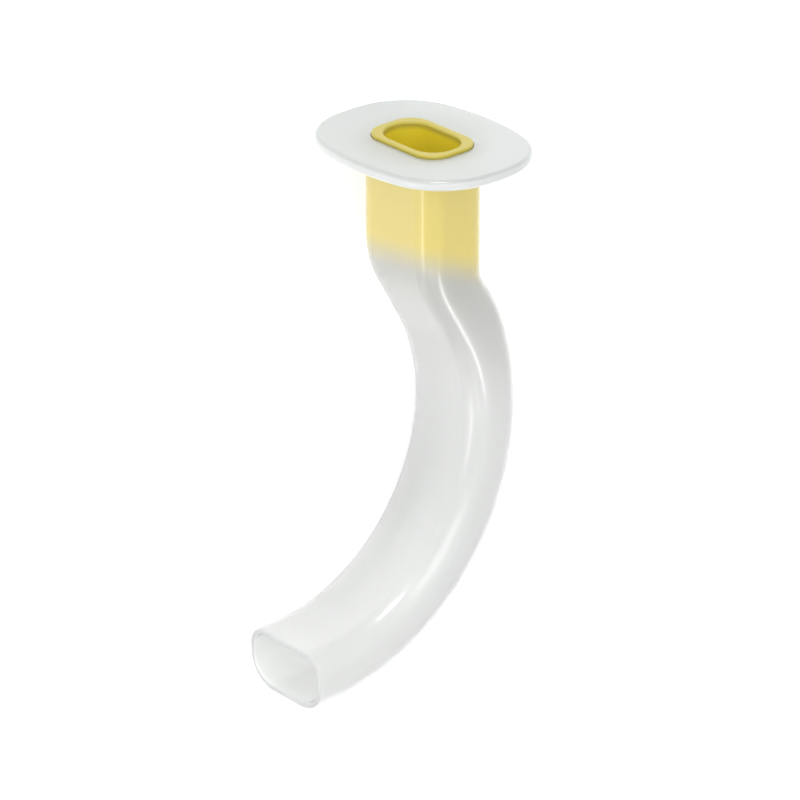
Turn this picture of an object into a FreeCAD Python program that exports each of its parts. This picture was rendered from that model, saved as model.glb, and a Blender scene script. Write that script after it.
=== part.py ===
import FreeCAD, Part
import math
import os
import Sketcher

# An oropharyngeal airway of the 90 mm size: a curved, hollow tube of milky polyethylene
# with an oval flange, moulded as one piece, and a coloured bite block insert pressed into
# its mouth.
#
# The pieces are drawn with X across the tube, Y towards the side that the tip curves to,
# and +Z out of the flange, whose outer face lies at Z = 0. The last section lays the
# airway down on its side, the way it comes to rest on a table.

SIZES = {
    "overall_length": 90.0,
    "wall": 1.0,
    "fit_clearance": 0.1,
    # The flange, an oval with flatter long sides.
    "flange_width": 36.2,
    "flange_depth": 28.6,
    "flange_thickness": 1.8,
    "flange_side_radius": 41.5,
    "flange_end_radius": 34.5,
    "flange_corner_radius": 11.8,
    "flange_edge_flat": 0.2,
    "flange_root_radius": 1.2,
    # The outside of the tube, seen from the front and from the side.
    "tube_width": 17.6,
    "bite_depth": 13.0,
    "front_length": 16.4,
    "front_lean": 29.7,
    "front_bend_radius": 18.0,
    "back_bend_radius": 5.0,
    "channel_depth": 10.8,
    "curve_offset": 27.0,
    "tip_reach": 30.0,
    "tip_droop": 2.5,
    # The rounded long edges of the tube: tighter on the inside of the curve, and
    # widening on the outside of it from the bite part to the curve.
    "front_corner_radius": 3.7,
    "back_corner_radius": 4.0,
    "curve_corner_radius": 5.4,
    "tip_edge_radius": 0.4,
    # The insert: a sleeve in the mouth of the tube, with a rim let into the flange. The
    # rim and the bore lie a little towards the front of the sleeve.
    "sleeve_front_length": 16.0,
    "sleeve_back_length": 20.5,
    "mouth_offset": 0.2,
    "rim_width": 16.8,
    "rim_depth": 11.2,
    "rim_corner_radius": 4.0,
    "rim_height": 0.5,
    "rim_seat_depth": 0.6,
    "rim_edge_radius": 0.3,
    "bore_width": 13.9,
    "bore_depth": 8.4,
    "bore_corner_radius": 4.0,
    "bore_edge_radius": 0.4,
    # How the airway lies on a table: rolled onto its side, with the flange's edge under one
    # end and the outside of the curve under the other.
    "lying_roll": 7.47,
    "lying_pitch": 7.47,
}

# How far a cutting form runs past the face that it opens, and how long a cut is that
# passes right through the airway.
OVERRUN = 2.0
RIGHT_THROUGH = "2 * Sizes.overall_length"

# The least flat left between the rounded edges of the tube.
LEAST_FLAT = 0.4

# Two places closer than this are the same place.
NEAR = 0.001

# Turns, for the ends of arcs.
QUARTER = math.pi / 2
HALF = math.pi
WHOLE = 2 * math.pi

# A sketch's own origin and axes, as its constraints name them, and the start, end and
# centre of one of its lines or arcs.
ORIGIN = (-1, 1)
ACROSS_AXIS = -1
UPRIGHT_AXIS = -2
START, END, CENTRE = range(1, 4)

doc = FreeCAD.newDocument("Airway")
sheet = doc.addObject("Spreadsheet::Sheet", "Sizes")
for row, (name, number) in enumerate(SIZES.items(), start=1):
    sheet.set("A%d" % row, name)
    sheet.set("B%d" % row, str(number))
    sheet.setAlias("B%d" % row, name)
doc.recompute()


def size(name):
    return float(sheet.get(name))


def origin_plane(body, role):
    return next(plane for plane in body.Origin.OriginFeatures if plane.Role == role)


def new_sketch(body, name, role):
    sketch = body.newObject("Sketcher::SketchObject", name)
    sketch.AttachmentSupport = [(origin_plane(body, role), "")]
    sketch.MapMode = "FlatFace"
    return sketch


def add_line(sketch, start, end):
    line = Part.LineSegment(FreeCAD.Vector(*start, 0), FreeCAD.Vector(*end, 0))
    return sketch.addGeometry(line, False)


def add_arc(sketch, centre, radius, start, end):
    circle = Part.Circle(FreeCAD.Vector(*centre, 0), FreeCAD.Vector(0, 0, 1), radius)
    return sketch.addGeometry(Part.ArcOfCircle(circle, start, end), False)


def bind(sketch, kind, *where):
    return sketch.addConstraint(Sketcher.Constraint(kind, *where))


def join_loop(sketch, kind, pieces):
    """Join the end of each piece to the start of the next, all the way round."""
    for before, after in zip(pieces[-1:] + pieces[:-1], pieces):
        bind(sketch, kind, before, END, after, START)


def add_size(sketch, kind, where, expression):
    """A dimension of a sketch, worked out from the table of sizes."""
    value = sketch.evalExpression(expression)
    if kind == "Angle":
        value = math.radians(value.Value)
    index = sketch.addConstraint(Sketcher.Constraint(kind, *where, value))
    sketch.setExpression("Constraints[%d]" % index, expression)


def side_outline(body, name, inset, top, overrun):
    """The tube seen from the side, its wall moved inwards by the inset. Gives the sketch
    and the height of the curve's centre, where the outside of the curve is parted."""
    lean = math.radians(size("front_lean"))
    droop = math.radians(size("tip_droop"))
    moved = body.evalExpression(inset)
    above = body.evalExpression(top)
    beyond = body.evalExpression(overrun)
    half = size("bite_depth") / 2
    front_bend = size("front_bend_radius")
    back_bend = size("back_bend_radius")
    reach = size("tip_reach")
    offset = size("curve_offset")

    # The curve's inner radius is what lets it touch both the leaning front wall and the
    # drooping tip, and still brings the tip down to the overall length.
    front_y = half - front_bend
    lean_y = front_y + front_bend * math.cos(lean)
    lean_z = -size("front_length") - front_bend * math.sin(lean)
    low_z = (reach - offset) * math.tan(droop) - size("overall_length")
    low_z += size("channel_depth") * math.cos(droop)
    across = (offset - lean_y) * math.cos(lean) + (lean_z - low_z) * math.sin(lean)
    inner = across / (1 + math.sin(lean) / math.cos(droop))
    outer = inner + size("channel_depth")
    curve = (offset, low_z + inner / math.cos(droop))
    back_y = -half - back_bend
    rise = math.sqrt((outer + back_bend) ** 2 - (offset - back_y) ** 2)
    back = (back_y, curve[1] + rise)
    fall = math.atan2(rise, offset - back_y)

    def on_arc(centre, radius, angle):
        return (centre[0] + radius * math.cos(angle), centre[1] + radius * math.sin(angle))

    inner += moved
    outer -= moved
    front = (front_y, -size("front_length"))
    lean_start = on_arc(front, front_bend - moved, -lean)
    lean_end = on_arc(curve, inner, HALF - lean)
    tip_angle = HALF + QUARTER - droop
    inner_end = on_arc(curve, inner, tip_angle)
    outer_end = on_arc(curve, outer, tip_angle)
    tip_top_y = reach - moved * math.sin(droop) + beyond * math.cos(droop)
    tip_top = (tip_top_y, inner_end[1] - (tip_top_y - inner_end[0]) * math.tan(droop))
    tip_bottom = (tip_top[0] - (outer - inner) * math.sin(droop),
                  tip_top[1] - (outer - inner) * math.cos(droop))

    sketch = new_sketch(body, name, "YZ_Plane")
    mouth = add_line(sketch, (moved - half, above), (half - moved, above))
    front_wall = add_line(sketch, (half - moved, above), (half - moved, front[1]))
    front_arc = add_arc(sketch, front, front_bend - moved, -lean, 0)
    slope = add_line(sketch, lean_start, lean_end)
    inner_arc = add_arc(sketch, curve, inner, HALF - lean, tip_angle)
    inner_tip = add_line(sketch, inner_end, tip_top)
    tip = add_line(sketch, tip_top, tip_bottom)
    outer_tip = add_line(sketch, tip_bottom, outer_end)
    lower_arc = add_arc(sketch, curve, outer, HALF, tip_angle)
    upper_arc = add_arc(sketch, curve, outer, HALF - fall, HALF)
    back_arc = add_arc(sketch, back, back_bend + moved, -fall, 0)
    back_wall = add_line(sketch, (moved - half, back[1]), (moved - half, above))

    bind(sketch, "Coincident", mouth, END, front_wall, START)
    bind(sketch, "Tangent", front_wall, END, front_arc, END)
    bind(sketch, "Tangent", front_arc, START, slope, START)
    bind(sketch, "Tangent", slope, END, inner_arc, START)
    bind(sketch, "Tangent", inner_arc, END, inner_tip, START)
    bind(sketch, "Coincident", inner_tip, END, tip, START)
    bind(sketch, "Coincident", tip, END, outer_tip, START)
    bind(sketch, "Tangent", outer_tip, END, lower_arc, END)
    bind(sketch, "Coincident", lower_arc, START, upper_arc, END)
    bind(sketch, "Tangent", upper_arc, START, back_arc, START)
    bind(sketch, "Tangent", back_arc, END, back_wall, START)
    bind(sketch, "Coincident", back_wall, END, mouth, START)
    bind(sketch, "Horizontal", mouth)
    for wall in (front_wall, back_wall):
        bind(sketch, "Vertical", wall)
    for arc in (lower_arc, upper_arc):
        bind(sketch, "Coincident", inner_arc, CENTRE, arc, CENTRE)
    bind(sketch, "Horizontal", upper_arc, END, inner_arc, CENTRE)
    bind(sketch, "Parallel", inner_tip, outer_tip)
    bind(sketch, "Perpendicular", inner_tip, tip)

    half_depth = "Sizes.bite_depth / 2 - (%s)" % inset
    add_size(sketch, "DistanceY", (*ORIGIN, mouth, START), top)
    add_size(sketch, "DistanceX", (*ORIGIN, front_wall, START), half_depth)
    add_size(sketch, "DistanceX", (back_wall, START, *ORIGIN), half_depth)
    add_size(sketch, "DistanceY", (front_wall, END, *ORIGIN), "Sizes.front_length")
    add_size(sketch, "Radius", (front_arc,), "Sizes.front_bend_radius - (%s)" % inset)
    add_size(sketch, "Radius", (back_arc,), "Sizes.back_bend_radius + (%s)" % inset)
    add_size(sketch, "Angle", (slope,), "-(90 + Sizes.front_lean) * 1 deg")
    add_size(sketch, "DistanceX", (*ORIGIN, inner_arc, CENTRE), "Sizes.curve_offset")
    add_size(sketch, "Angle", (inner_tip,), "-Sizes.tip_droop * 1 deg")
    along_tip = "(%s) * cos(Sizes.tip_droop * 1 deg)"
    across_tip = "(%s) * sin(Sizes.tip_droop * 1 deg)"
    add_size(sketch, "DistanceX", (*ORIGIN, tip, START),
             "Sizes.tip_reach - %s + %s" % (across_tip % inset, along_tip % overrun))
    add_size(sketch, "Distance", (tip,), "Sizes.channel_depth - 2 * (%s)" % inset)
    add_size(sketch, "DistanceY", (tip, END, *ORIGIN),
             "Sizes.overall_length - %s + %s" % (along_tip % inset, across_tip % overrun))
    return sketch, curve[1]


def pad_across(body, outline, inset):
    """Pad a side outline across the tube, from one side wall to the other."""
    pad = body.newObject("PartDesign::Pad", outline.Name + "_pad")
    pad.Profile = outline
    pad.SideType = "Symmetric"
    pad.setExpression("Length", "Sizes.tube_width - 2 * (%s)" % inset)
    doc.recompute()
    return pad


def at_front_corner(edge):
    """True for an upright edge on the side that the tip curves to."""
    box = edge.BoundBox
    return box.YLength < NEAR < box.ZLength and box.YMin > 0


def at_back_corner(edge):
    """True for an upright edge on the other side."""
    box = edge.BoundBox
    return box.YLength < NEAR < box.ZLength and box.YMax < 0


def tube_form(name, inset, top, overrun):
    """A solid form of the whole tube, every wall moved inwards by the inset."""
    body = doc.addObject("PartDesign::Body", name)
    outline, parting = side_outline(body, name + "_side", inset, top, overrun)
    pad_across(body, outline, inset)

    # The rounding of one edge carries on along the whole tube. On the front side it stays
    # the same. On the back it widens along the upper part of the curve.
    moved = body.evalExpression(inset)
    front = size("front_corner_radius") - moved
    back = size("back_corner_radius") - moved
    widest = size("channel_depth") - size("front_corner_radius") - LEAST_FLAT
    curve = min(size("curve_corner_radius"), widest) - moved
    rounding = []
    for number, edge in enumerate(body.Shape.Edges, start=1):
        box = edge.BoundBox
        if at_front_corner(edge):
            rounding.append((number, front, front))
        elif box.XLength < NEAR < box.YLength and abs(box.ZMin - parting) < NEAR:
            rises = edge.valueAt(edge.FirstParameter).z < edge.valueAt(edge.LastParameter).z
            rounding.append((number, curve, back) if rises else (number, back, curve))
    form = doc.addObject("Part::Fillet", name + "_form")
    form.Base = body
    form.Edges = rounding
    doc.recompute()
    return form


def oval_outline(body, name):
    """The flange's outline: flat long sides, rounder ends, tight corners between them."""
    side_radius = size("flange_side_radius")
    end_radius = size("flange_end_radius")
    corner_radius = size("flange_corner_radius")
    side = size("flange_depth") / 2 - side_radius
    end = size("flange_width") / 2 - end_radius

    # The centre of a corner arc lies where it touches both its side arc and its end arc.
    gap = math.hypot(side, end)
    to_side = side_radius - corner_radius
    to_end = end_radius - corner_radius
    along = (to_side ** 2 - to_end ** 2 + gap ** 2) / (2 * gap)
    turn = math.atan2(-side, end) - math.acos(along / to_side)
    corner_x = to_side * math.cos(turn)
    corner_y = side + to_side * math.sin(turn)
    bend = math.atan2(corner_y, corner_x - end)

    sketch = new_sketch(body, name, "XY_Plane")

    def corner(flip_x, flip_y, start, finish):
        centre = (flip_x * corner_x, flip_y * corner_y)
        return add_arc(sketch, centre, corner_radius, start, finish)

    right_end = add_arc(sketch, (end, 0), end_radius, -bend, bend)
    upper_right = corner(1, 1, bend, turn)
    upper_side = add_arc(sketch, (0, side), side_radius, turn, HALF - turn)
    upper_left = corner(-1, 1, HALF - turn, HALF - bend)
    left_end = add_arc(sketch, (-end, 0), end_radius, HALF - bend, HALF + bend)
    lower_left = corner(-1, -1, HALF + bend, HALF + turn)
    lower_side = add_arc(sketch, (0, -side), side_radius, HALF + turn, WHOLE - turn)
    lower_right = corner(1, -1, WHOLE - turn, WHOLE - bend)

    join_loop(sketch, "Tangent", [right_end, upper_right, upper_side, upper_left, left_end,
                                  lower_left, lower_side, lower_right])
    end_place = "(Sizes.flange_width / 2 - Sizes.flange_end_radius)"
    side_place = "(Sizes.flange_depth / 2 - Sizes.flange_side_radius)"
    for arc, sign in ((right_end, ""), (left_end, "-")):
        bind(sketch, "PointOnObject", arc, CENTRE, ACROSS_AXIS)
        add_size(sketch, "DistanceX", (*ORIGIN, arc, CENTRE), sign + end_place)
        add_size(sketch, "Radius", (arc,), "Sizes.flange_end_radius")
    for arc, sign in ((upper_side, ""), (lower_side, "-")):
        bind(sketch, "PointOnObject", arc, CENTRE, UPRIGHT_AXIS)
        add_size(sketch, "DistanceY", (*ORIGIN, arc, CENTRE), sign + side_place)
        add_size(sketch, "Radius", (arc,), "Sizes.flange_side_radius")
    for arc in (upper_right, upper_left, lower_left, lower_right):
        add_size(sketch, "Radius", (arc,), "Sizes.flange_corner_radius")
    return sketch


def rounded_outline(body, name, width, depth, radius):
    """A rectangle with four rounded corners, a little forward of the tube's axis."""
    half_width = body.evalExpression(width) / 2
    upper_y = size("mouth_offset") + body.evalExpression(depth) / 2
    lower_y = size("mouth_offset") - body.evalExpression(depth) / 2
    bend = body.evalExpression(radius)
    side_x = half_width - bend
    sketch = new_sketch(body, name, "XY_Plane")
    upper_right = add_arc(sketch, (side_x, upper_y - bend), bend, 0, QUARTER)
    upper = add_line(sketch, (side_x, upper_y), (-side_x, upper_y))
    upper_left = add_arc(sketch, (-side_x, upper_y - bend), bend, QUARTER, HALF)
    left = add_line(sketch, (-half_width, upper_y - bend), (-half_width, lower_y + bend))
    lower_left = add_arc(sketch, (-side_x, lower_y + bend), bend, HALF, HALF + QUARTER)
    lower = add_line(sketch, (-side_x, lower_y), (side_x, lower_y))
    lower_right = add_arc(sketch, (side_x, lower_y + bend), bend, HALF + QUARTER, WHOLE)
    right = add_line(sketch, (half_width, lower_y + bend), (half_width, upper_y - bend))
    join_loop(sketch, "Tangent", [upper_right, upper, upper_left, left, lower_left, lower,
                                  lower_right, right])
    for line in (upper, lower):
        bind(sketch, "Horizontal", line)
    for line in (left, right):
        bind(sketch, "Vertical", line)
    for arc in (upper_left, lower_left, lower_right):
        bind(sketch, "Equal", upper_right, arc)
    add_size(sketch, "Radius", (upper_right,), radius)
    add_size(sketch, "DistanceX", (*ORIGIN, right, START), "(%s) / 2" % width)
    add_size(sketch, "DistanceX", (left, START, *ORIGIN), "(%s) / 2" % width)
    add_size(sketch, "DistanceY", (*ORIGIN, upper, START), "(%s) / 2 + Sizes.mouth_offset" % depth)
    add_size(sketch, "DistanceY", (lower, START, *ORIGIN), "(%s) / 2 - Sizes.mouth_offset" % depth)
    return sketch


def add_pad(body, outline, length, downwards=False):
    pad = body.newObject("PartDesign::Pad", outline.Name + "_pad")
    pad.Profile = outline
    pad.Reversed = downwards
    pad.setExpression("Length", length)
    doc.recompute()
    return pad


def round_edges(body, name, chosen, radius):
    """Round the edges of a body that the given test picks."""
    numbers = ["Edge%d" % number for number, edge in enumerate(body.Shape.Edges, start=1)
               if chosen(edge)]
    base = body.Tip
    fillet = body.newObject("PartDesign::Fillet", name)
    fillet.Base = (base, numbers)
    fillet.setExpression("Radius", radius)
    doc.recompute()
    return fillet


def level(edge, height):
    """True for an edge that lies wholly at one height."""
    box = edge.BoundBox
    return abs(box.ZMin - height) < NEAR and abs(box.ZMax - height) < NEAR


# The flange, with a nearly full round along its edge.
flange = doc.addObject("PartDesign::Body", "Flange")
add_pad(flange, oval_outline(flange, "Flange_outline"), "Sizes.flange_thickness", True)
edge_radius = "(Sizes.flange_thickness - Sizes.flange_edge_flat) / 2"
round_edges(flange, "Flange_edge", lambda edge: edge.BoundBox.ZLength < NEAR, edge_radius)

# The rebate in the flange's outer face that the insert's rim drops into.
seat = doc.addObject("PartDesign::Body", "Rim_seat")
outline = rounded_outline(seat, "Seat_outline", "Sizes.rim_width + 2 * Sizes.fit_clearance",
                          "Sizes.rim_depth + 2 * Sizes.fit_clearance",
                          "Sizes.rim_corner_radius + Sizes.fit_clearance")
add_pad(seat, outline, "2 * Sizes.rim_seat_depth")
seat.Tip.SideType = "Symmetric"

# The airway body: the flange and the tube are one moulding, opened from end to end.
outside = tube_form("Outside", "0", "-Sizes.flange_thickness / 2", "0")
channel = tube_form("Channel", "Sizes.wall", str(OVERRUN), str(OVERRUN))
moulding = doc.addObject("Part::MultiFuse", "Moulding")
moulding.Shapes = [flange, outside]
opening = doc.addObject("Part::MultiFuse", "Opening")
opening.Shapes = [channel, seat]
hollow = doc.addObject("Part::Cut", "Hollow_moulding")
hollow.Base = moulding
hollow.Tool = opening
doc.recompute()

# The tube runs into the flange with a small round, and its tip is rounded in and out.
tip_y = size("tip_reach") - size("channel_depth") * math.sin(math.radians(size("tip_droop")))
underside = -size("flange_thickness")
tube_half = size("tube_width") / 2
rounding = []
for number, edge in enumerate(hollow.Shape.Edges, start=1):
    box = edge.BoundBox
    if box.YMin > tip_y - NEAR:
        rounding.append((number, size("tip_edge_radius"), size("tip_edge_radius")))
    elif level(edge, underside) and max(box.XMax, -box.XMin) < tube_half + NEAR:
        rounding.append((number, size("flange_root_radius"), size("flange_root_radius")))
airway = doc.addObject("Part::Fillet", "Airway_body")
airway.Label = "airway_body"
airway.Base = hollow
airway.Edges = rounding
doc.recompute()


def sleeve_outline(body, name, inset):
    """The sleeve seen from the side: its lower end is cut aslant, as the tube bends there."""
    half = size("bite_depth") / 2 - body.evalExpression(inset)
    front = -size("sleeve_front_length")
    back = -size("sleeve_back_length")
    sketch = new_sketch(body, name, "YZ_Plane")
    mouth = add_line(sketch, (-half, 0), (half, 0))
    front_wall = add_line(sketch, (half, 0), (half, front))
    slant = add_line(sketch, (half, front), (-half, back))
    back_wall = add_line(sketch, (-half, back), (-half, 0))
    join_loop(sketch, "Coincident", [mouth, front_wall, slant, back_wall])
    bind(sketch, "PointOnObject", mouth, START, ACROSS_AXIS)
    bind(sketch, "Horizontal", mouth)
    bind(sketch, "Vertical", front_wall)
    bind(sketch, "Vertical", back_wall)
    half_depth = "Sizes.bite_depth / 2 - (%s)" % inset
    add_size(sketch, "DistanceX", (mouth, START, *ORIGIN), half_depth)
    add_size(sketch, "DistanceX", (*ORIGIN, mouth, END), half_depth)
    add_size(sketch, "DistanceY", (front_wall, END, *ORIGIN), "Sizes.sleeve_front_length")
    add_size(sketch, "DistanceY", (slant, END, *ORIGIN), "Sizes.sleeve_back_length")
    return sketch


# The bite block insert: a sleeve that fills the tube's mouth down to its bend, with a rim
# that stands a little above the flange, and a rounded bore to breathe through.
insert = doc.addObject("PartDesign::Body", "Bite_block_insert")
insert.Label = "bite_block_insert"
inset = "Sizes.wall + Sizes.fit_clearance"
pad_across(insert, sleeve_outline(insert, "Sleeve_side", inset), inset)
front_radius = "Sizes.front_corner_radius - (%s)" % inset
back_radius = "Sizes.back_corner_radius - (%s)" % inset
round_edges(insert, "Sleeve_front_corners", at_front_corner, front_radius)
round_edges(insert, "Sleeve_back_corners", at_back_corner, back_radius)
outline = rounded_outline(insert, "Rim_outline", "Sizes.rim_width", "Sizes.rim_depth",
                          "Sizes.rim_corner_radius")
rim = add_pad(insert, outline, "Sizes.rim_height")
rim.SideType = "Two sides"
rim.setExpression("Length2", "Sizes.rim_seat_depth")
doc.recompute()
top = size("rim_height")
round_edges(insert, "Rim_edge", lambda edge: level(edge, top), "Sizes.rim_edge_radius")


bore = insert.newObject("PartDesign::Pocket", "Bore")
bore.Profile = rounded_outline(insert, "Bore_outline", "Sizes.bore_width", "Sizes.bore_depth",
                               "Sizes.bore_corner_radius")
bore.SideType = "Symmetric"
bore.setExpression("Length", RIGHT_THROUGH)
doc.recompute()


def at_bore_mouth(edge):
    """True for an edge of the bore where it opens through the rim's top."""
    box = edge.BoundBox
    forward = size("mouth_offset")
    across = max(box.XMax, -box.XMin)
    along = max(box.YMax - forward, forward - box.YMin)
    inside = across < size("bore_width") / 2 + NEAR and along < size("bore_depth") / 2 + NEAR
    return inside and level(edge, top)


round_edges(insert, "Bore_edge", at_bore_mouth, "Sizes.bore_edge_radius")

# Lay the airway down. Its side turns to face the table, its flange faces -X and its tip
# curves towards -Y. The angles are those at which its centre of mass is lowest.
on_side = FreeCAD.Rotation(FreeCAD.Vector(0, 0, -1), FreeCAD.Vector(0, -1, 0),
                           FreeCAD.Vector(-1, 0, 0), "XYZ")
roll = FreeCAD.Rotation(FreeCAD.Vector(1, 0, 0), -size("lying_roll"))
pitch = FreeCAD.Rotation(FreeCAD.Vector(0, 1, 0), size("lying_pitch"))
turned = FreeCAD.Placement(FreeCAD.Vector(0, 0, 0), pitch.multiply(roll).multiply(on_side))
pieces = [airway, insert]
for piece in pieces:
    piece.Placement = turned
doc.recompute()
box = Part.makeCompound([piece.Shape for piece in pieces]).optimalBoundingBox(False, False)
table = FreeCAD.Vector(-box.Center.x, -box.Center.y, -box.ZMin)
for piece in pieces:
    piece.Placement = FreeCAD.Placement(table, turned.Rotation)
doc.recompute()

for item in doc.Objects:
    if "Invalid" in item.State or "Error" in item.State:
        raise RuntimeError("%s was not built: %s" % (item.Name, item.State))
os.makedirs("parts", exist_ok=True)
for piece in pieces:
    if piece.Shape.isNull() or not piece.Shape.isValid():
        raise RuntimeError("%s has no sound shape" % piece.Label)
    piece.Shape.exportStep("parts/%s.step" % piece.Label)
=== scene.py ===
import bpy
from mathutils import Matrix, Vector

# An oropharyngeal airway of the 90 mm size, lying on its side on a white table. X runs from
# the flange to the tip, the tip curves towards -Y, and the table is at Z = 0.
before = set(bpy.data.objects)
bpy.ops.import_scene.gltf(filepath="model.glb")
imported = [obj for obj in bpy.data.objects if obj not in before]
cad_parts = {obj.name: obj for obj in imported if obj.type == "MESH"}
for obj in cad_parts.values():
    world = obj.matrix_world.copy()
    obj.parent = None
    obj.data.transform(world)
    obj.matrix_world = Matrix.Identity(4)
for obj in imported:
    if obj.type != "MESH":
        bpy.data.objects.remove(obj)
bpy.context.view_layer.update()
bpy.ops.object.select_all(action="DESELECT")
MM = 0.001

# Airway body: the flange and the curved tube are one moulding of low-density polyethylene,
# milky and see-through, so that the yellow insert glows through its wall. It comes out of
# a polished mould with a silky skin.


def linear(hex_colour):
    """An sRGB colour such as #E8ECE9, as the linear values that a shader takes."""
    values = [int(hex_colour[start:start + 2], 16) / 255 for start in (1, 3, 5)]
    return [v / 12.92 if v <= 0.04045 else ((v + 0.055) / 1.055) ** 2.4 for v in values] + [1.0]


def new_material(name, values):
    """A material and its Principled shader, which takes the given values."""
    material = bpy.data.materials.new(name)
    material.use_nodes = True
    shader = material.node_tree.nodes["Principled BSDF"]
    for socket, value in values.items():
        shader.inputs[socket].default_value = value
    return material, shader


def feed(owner, node, links):
    """Link the outputs of other nodes into this node's inputs."""
    for socket, output in links.items():
        owner.node_tree.links.new(output, node.inputs[socket])


def add_node(owner, kind, settings, values, links):
    """Add a node: its settings, the values of its inputs, and links into it from others."""
    node = owner.node_tree.nodes.new(kind)
    for name, value in settings.items():
        setattr(node, name, value)
    for socket, value in values.items():
        node.inputs[socket].default_value = value
    feed(owner, node, links)
    return node


def show(piece, material):
    """Give a piece one material all over."""
    for slot in piece.material_slots:
        slot.material = material
    if not piece.material_slots:
        piece.data.materials.append(material)


def beyond(material, place, point, direction):
    """How far a point of the surface lies beyond a plane through the given point, in metres."""
    from_plane = add_node(material, "ShaderNodeVectorMath", {"operation": "SUBTRACT"}, {1: point},
                          {0: place.outputs["Object"]})
    height = add_node(material, "ShaderNodeVectorMath", {"operation": "DOT_PRODUCT"},
                      {1: direction}, {0: from_plane.outputs["Vector"]})
    return height.outputs["Value"]


SMOOTH = {"interpolation_type": "SMOOTHSTEP"}
COLOUR = {"data_type": "RGBA"}
NUMBER = {"data_type": "FLOAT"}

# The insert ends aslant, under this point of the tube's front wall, and the direction runs
# from that end up to the flange. The flange has one point on its inner and one on its outer
# face, in the middle of the mouth.
SLEEVE_END = (-28.0 * MM, 2.4 * MM, 16.8 * MM)
SLEEVE_UP = (-0.923, 0.383, -0.040)
FLANGE_ROOT = (-42.2 * MM, 7.7 * MM, 18.0 * MM)
FLANGE_FACE = (-44.0 * MM, 7.7 * MM, 18.2 * MM)
FLANGE_OUT = (-0.9915, 0.0, 0.1300)

# Low-density polyethylene scatters light inside the wall, so the wall looks like milk glass
# with a soft sheen. Its thickness varies a little, which makes faint clouds and slow ripples.
POLYETHYLENE_IOR = 1.51
POLISH = 0.8
POLISH_ROUGHNESS = 0.2
MILKY_THIN = "#F7F8F7"
MILKY_THICK = "#FCFDFC"
CLOUD_SIZE = 9.0 * MM
SKIN_ROUGHNESS = (0.30, 0.38)
RIPPLE_SIZE = 5.0 * MM
RIPPLE_HEIGHT = 0.02 * MM

milky, shader = new_material("Milky low-density polyethylene", {
    "IOR": POLYETHYLENE_IOR, "Coat Weight": POLISH, "Coat Roughness": POLISH_ROUGHNESS})
place = add_node(milky, "ShaderNodeTexCoord", {}, {}, {})
clouds = add_node(milky, "ShaderNodeTexNoise", {},
                  {"Scale": 1 / CLOUD_SIZE, "Detail": 2.0, "Roughness": 0.4},
                  {"Vector": place.outputs["Object"]})
tint = add_node(milky, "ShaderNodeMix", COLOUR,
                {"A": linear(MILKY_THIN), "B": linear(MILKY_THICK)},
                {"Factor": clouds.outputs["Fac"]})
gloss = add_node(milky, "ShaderNodeMapRange", {},
                 {"To Min": SKIN_ROUGHNESS[0], "To Max": SKIN_ROUGHNESS[1]},
                 {"Value": clouds.outputs["Fac"]})
ripples = add_node(milky, "ShaderNodeTexNoise", {},
                   {"Scale": 1 / RIPPLE_SIZE, "Detail": 1.0, "Roughness": 0.3},
                   {"Vector": place.outputs["Object"]})
bump = add_node(milky, "ShaderNodeBump", {}, {"Strength": 1.0, "Distance": RIPPLE_HEIGHT},
                {"Height": ripples.outputs["Fac"]})

# Painted shade: under the bite block the wall is painted a little greyer, where shade falls, and
# this clears towards the tip.
PAINTED_SHADE_END = -24.0 * MM
PAINTED_SHADE_FULL = -3.0 * MM
PAINTED_SHADE_GREY = "#E6E7E4"
from_sleeve = beyond(milky, place, SLEEVE_END, SLEEVE_UP)
painted_shade_mask = add_node(milky, "ShaderNodeMapRange", SMOOTH,
                 {"From Min": PAINTED_SHADE_END, "From Max": PAINTED_SHADE_FULL}, {"Value": from_sleeve})
with_painted_shade = add_node(milky, "ShaderNodeMix", COLOUR, {"B": linear(PAINTED_SHADE_GREY)},
                  {"Factor": painted_shade_mask.outputs["Result"], "A": tint.outputs["Result"]})

# Painted light: over the insert the wall is painted with a yellow glow, standing in for the
# insert's light that scatters in the wall, and the glow reaches a few millimetres down the tube.
GLOW_REACH = 5.0 * MM
GLOW_FULL = 1.0 * MM
GLOW = 0.9
PAINTED_YELLOW_GLOW = "#FFEC74"
over_sleeve = add_node(milky, "ShaderNodeMapRange", SMOOTH,
                       {"From Min": -GLOW_REACH, "From Max": GLOW_FULL, "To Max": GLOW},
                       {"Value": from_sleeve})
with_painted_glow = add_node(milky, "ShaderNodeMix", COLOUR, {"B": linear(PAINTED_YELLOW_GLOW)},
                    {"Factor": over_sleeve.outputs["Result"], "A": with_painted_shade.outputs["Result"]})

# Painted shade and painted light on the flange: it is painted greyest round the rim, where it lies
# over the tube's root, and palest along its thin edge, where the light catches it.
PAINTED_HALO_SHADE = "#BBBFB9"
PAINTED_HALO_INNER = 7.0 * MM
PAINTED_HALO_OUTER = 13.0 * MM
MILKY_FLANGE = "#C7CBC9"
PAINTED_EDGE_LIGHT = "#F3F6F5"
EDGE_BLEND = 0.8 * MM
FLANGE_BLEND = 1.0 * MM
from_mouth = add_node(milky, "ShaderNodeVectorMath", {"operation": "DISTANCE"},
                      {1: FLANGE_FACE}, {0: place.outputs["Object"]})
painted_halo_mask = add_node(milky, "ShaderNodeMapRange", SMOOTH,
                {"From Min": PAINTED_HALO_INNER, "From Max": PAINTED_HALO_OUTER},
                {"Value": from_mouth.outputs["Value"]})
face_with_painted_halo = add_node(milky, "ShaderNodeMix", COLOUR,
                     {"A": linear(PAINTED_HALO_SHADE), "B": linear(MILKY_FLANGE)},
                     {"Factor": painted_halo_mask.outputs["Result"]})
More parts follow.
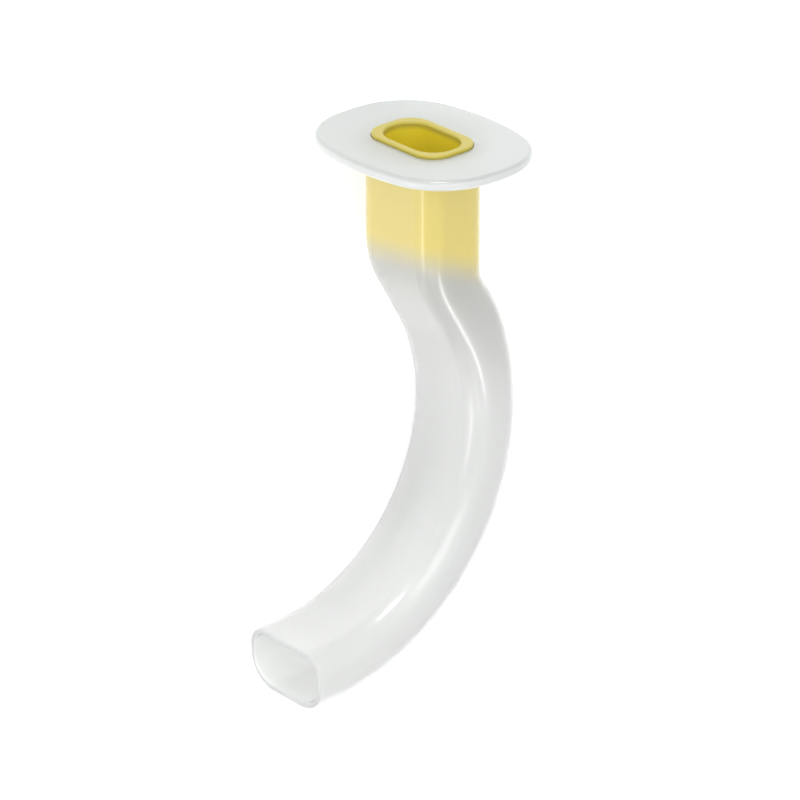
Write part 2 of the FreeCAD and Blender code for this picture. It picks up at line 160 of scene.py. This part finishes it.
on_face = add_node(milky, "ShaderNodeMapRange", SMOOTH, {"From Min": -EDGE_BLEND, "From Max": 0.0},
                   {"Value": beyond(milky, place, FLANGE_FACE, FLANGE_OUT)})
flange_painted_light_and_shade = add_node(milky, "ShaderNodeMix", COLOUR, {"A": linear(PAINTED_EDGE_LIGHT)},
                       {"Factor": on_face.outputs["Result"], "B": face_with_painted_halo.outputs["Result"]})
in_flange = add_node(milky, "ShaderNodeMapRange", SMOOTH,
                     {"From Min": -FLANGE_BLEND, "From Max": 0.0},
                     {"Value": beyond(milky, place, FLANGE_ROOT, FLANGE_OUT)})
body_tint = add_node(milky, "ShaderNodeMix", COLOUR, {},
                     {"Factor": in_flange.outputs["Result"], "A": with_painted_glow.outputs["Result"],
                      "B": flange_painted_light_and_shade.outputs["Result"]})

# The thin tube is the clearest, and the thick flange and the yellow part let less through.
CLEAR_TUBE = 0.68
CLEAR_OVER_SLEEVE = 0.35
CLEAR_FLANGE = 0.32
clear = add_node(milky, "ShaderNodeMapRange", {},
                 {"To Min": CLEAR_TUBE, "To Max": CLEAR_OVER_SLEEVE},
                 {"Value": over_sleeve.outputs["Result"]})
clearness = add_node(milky, "ShaderNodeMix", NUMBER, {"B": CLEAR_FLANGE},
                     {"Factor": in_flange.outputs["Result"], "A": clear.outputs["Result"]})
feed(milky, shader, {"Base Color": body_tint.outputs["Result"],
                     "Transmission Weight": clearness.outputs["Result"],
                     "Roughness": gloss.outputs["Result"],
                     "Normal": bump.outputs["Normal"]})
show(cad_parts["airway_body"], milky)

# Bite block insert: a sleeve of yellow polypropylene with a low rim, stiffer than the tube,
# so that teeth can't close it. It is pressed into the tube's mouth, and its colour tells
# the size.
POLYPROPYLENE_IOR = 1.49
SLEEVE_YELLOWS = ("#E8D534", "#ECDA3E")
GRAIN_SIZE = 0.6 * MM
GRAIN_HEIGHT = 0.004 * MM
GRAIN_ROUGHNESS = (0.34, 0.42)

yellow, shader = new_material("Yellow polypropylene", {"IOR": POLYPROPYLENE_IOR})
place = add_node(yellow, "ShaderNodeTexCoord", {}, {}, {})
grain = add_node(yellow, "ShaderNodeTexNoise", {}, {"Scale": 1 / GRAIN_SIZE, "Detail": 2.0},
                 {"Vector": place.outputs["Object"]})
tint = add_node(yellow, "ShaderNodeMix", COLOUR,
                {"A": linear(SLEEVE_YELLOWS[0]), "B": linear(SLEEVE_YELLOWS[1])},
                {"Factor": grain.outputs["Fac"]})
gloss = add_node(yellow, "ShaderNodeMapRange", {},
                 {"To Min": GRAIN_ROUGHNESS[0], "To Max": GRAIN_ROUGHNESS[1]},
                 {"Value": grain.outputs["Fac"]})
bump = add_node(yellow, "ShaderNodeBump", {}, {"Strength": 1.0, "Distance": GRAIN_HEIGHT},
                {"Height": grain.outputs["Fac"]})

# Light comes through the sleeve's thin wall and deepens its yellow. The thick rim is painted
# darker and duller, a painted shade that tones down the light falling straight on it.
RIM_BLEND = 1.0 * MM
RIM_SHADE_SHARE = 0.9
RIM_PAINTED_SHADE = "#B5A745"
rim_shade_mask = add_node(yellow, "ShaderNodeMapRange", SMOOTH,
                  {"From Min": -RIM_BLEND, "From Max": 0.0, "To Max": RIM_SHADE_SHARE},
                  {"Value": beyond(yellow, place, FLANGE_FACE, FLANGE_OUT)})
insert_with_painted_shade = add_node(yellow, "ShaderNodeMix", COLOUR, {"B": linear(RIM_PAINTED_SHADE)},
                       {"Factor": rim_shade_mask.outputs["Result"], "A": tint.outputs["Result"]})

# The sleeve thins to a feather edge at its lower end, so its colour fades there.
FEATHER = 3.0 * MM
FEATHER_LEFT = 0.25
fade = add_node(yellow, "ShaderNodeMapRange", SMOOTH,
                {"From Min": 0.0, "From Max": FEATHER, "To Min": FEATHER_LEFT, "To Max": 1.0},
                {"Value": beyond(yellow, place, SLEEVE_END, SLEEVE_UP)})
feed(yellow, shader, {"Base Color": insert_with_painted_shade.outputs["Result"],
                      "Roughness": gloss.outputs["Result"],
                      "Normal": bump.outputs["Normal"],
                      "Alpha": fade.outputs["Result"]})
show(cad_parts["bite_block_insert"], yellow)

# The table: a wide white sheet. The camera, and what is seen through the airway, meet it as
# plain white, and it still takes the airway's shadow.
TABLE_SIZE = 3.0
TABLE_GLOW = 0.5
bpy.ops.mesh.primitive_plane_add(size=TABLE_SIZE, location=(0, 0, 0))
table = bpy.context.object
table.name = "table"
paper, shader = new_material("White paper", {
    "Base Color": linear("#F4F4F4"), "Roughness": 0.9, "Specular IOR Level": 0.0,
    "Emission Color": (1, 1, 1, 1)})


def seen_through(owner):
    """1 for rays that see the table or sky directly, in a gloss or through the plastic."""
    ray = add_node(owner, "ShaderNodeLightPath", {}, {}, {})
    direct = add_node(owner, "ShaderNodeMath", {"operation": "MAXIMUM"}, {},
                      {0: ray.outputs["Is Camera Ray"], 1: ray.outputs["Is Glossy Ray"]})
    either = add_node(owner, "ShaderNodeMath", {"operation": "MAXIMUM"}, {},
                      {0: direct.outputs[0], 1: ray.outputs["Is Transmission Ray"]})
    return either.outputs[0]


glow = add_node(paper, "ShaderNodeMath", {"operation": "MULTIPLY"}, {1: TABLE_GLOW},
                {0: seen_through(paper)})
feed(paper, shader, {"Emission Strength": glow.outputs[0]})
show(table, paper)

# The sky: an even white tent all round, which lights the airway and is seen as plain white.
TENT_LIGHT = 0.72
TENT_SEEN = 1.0
world = bpy.data.worlds.new("White tent")
bpy.context.scene.world = world
world.use_nodes = True
sky = world.node_tree.nodes["Background"]
sky.inputs["Color"].default_value = (1, 1, 1, 1)
strength = add_node(world, "ShaderNodeMapRange", {}, {"To Min": TENT_LIGHT, "To Max": TENT_SEEN},
                    {"Value": seen_through(world)})
feed(world, sky, {"Strength": strength.outputs["Result"]})

# The camera looks down on the airway from the side that its tip curves to, turned so that
# the flange is at the top of the picture.
CAMERA_PLACE = (-251.71 * MM, -390.66 * MM, 640.23 * MM)
LOOKS_AT = (-1.99 * MM, 0.17 * MM, 17.31 * MM)
PICTURE_UP = (-0.94398, 0.23684, -0.22982)
LENS = 218.1
SENSOR = 36.0
NEAREST_SEEN = 0.05

camera = bpy.data.cameras.new("camera")
camera.lens = LENS
camera.sensor_width = SENSOR
camera.clip_start = NEAREST_SEEN
camera_object = bpy.data.objects.new("camera", camera)
bpy.context.collection.objects.link(camera_object)
backward = (Vector(CAMERA_PLACE) - Vector(LOOKS_AT)).normalized()
right = Vector(PICTURE_UP).cross(backward).normalized()
up = backward.cross(right)
turned = Matrix((right, up, backward)).transposed()
camera_object.matrix_world = Matrix.Translation(CAMERA_PLACE) @ turned.to_4x4()
bpy.context.scene.camera = camera_object

# The lamps: soft boxes round the table, each turned to the airway. The narrow ones draw the
# bright lines along the tube's rounded edges, and the wide one lights the mouth and the top.
LAMP_DISTANCE = 0.8


def soft_box(name, direction, width, height, watts):
    """A rectangular lamp in the given direction from the airway."""
    light = bpy.data.lights.new(name, "AREA")
    light.shape = "RECTANGLE"
    light.size = width
    light.size_y = height
    light.energy = watts
    lamp = bpy.data.objects.new(name, light)
    bpy.context.collection.objects.link(lamp)
    place = Vector(direction).normalized()
    lamp.location = place * LAMP_DISTANCE
    lamp.rotation_euler = place.to_track_quat("Z", "Y").to_euler()


soft_box("box beyond the tip", (0.75, 0.03, 0.60), 0.10, 0.36, 1.0)
soft_box("low box at the front", (0.35, -0.92, 0.17), 0.50, 0.07, 0.9)
soft_box("box behind the flange", (-0.92, -0.14, 0.30), 0.10, 0.16, 1.9)
soft_box("wide box overhead", (-0.30, -0.30, 0.90), 0.50, 0.50, 1.4)
soft_box("small box at the right", (0.65, -0.55, 0.54), 0.12, 0.20, 0.25)

bpy.context.scene.view_settings.view_transform = "Standard"
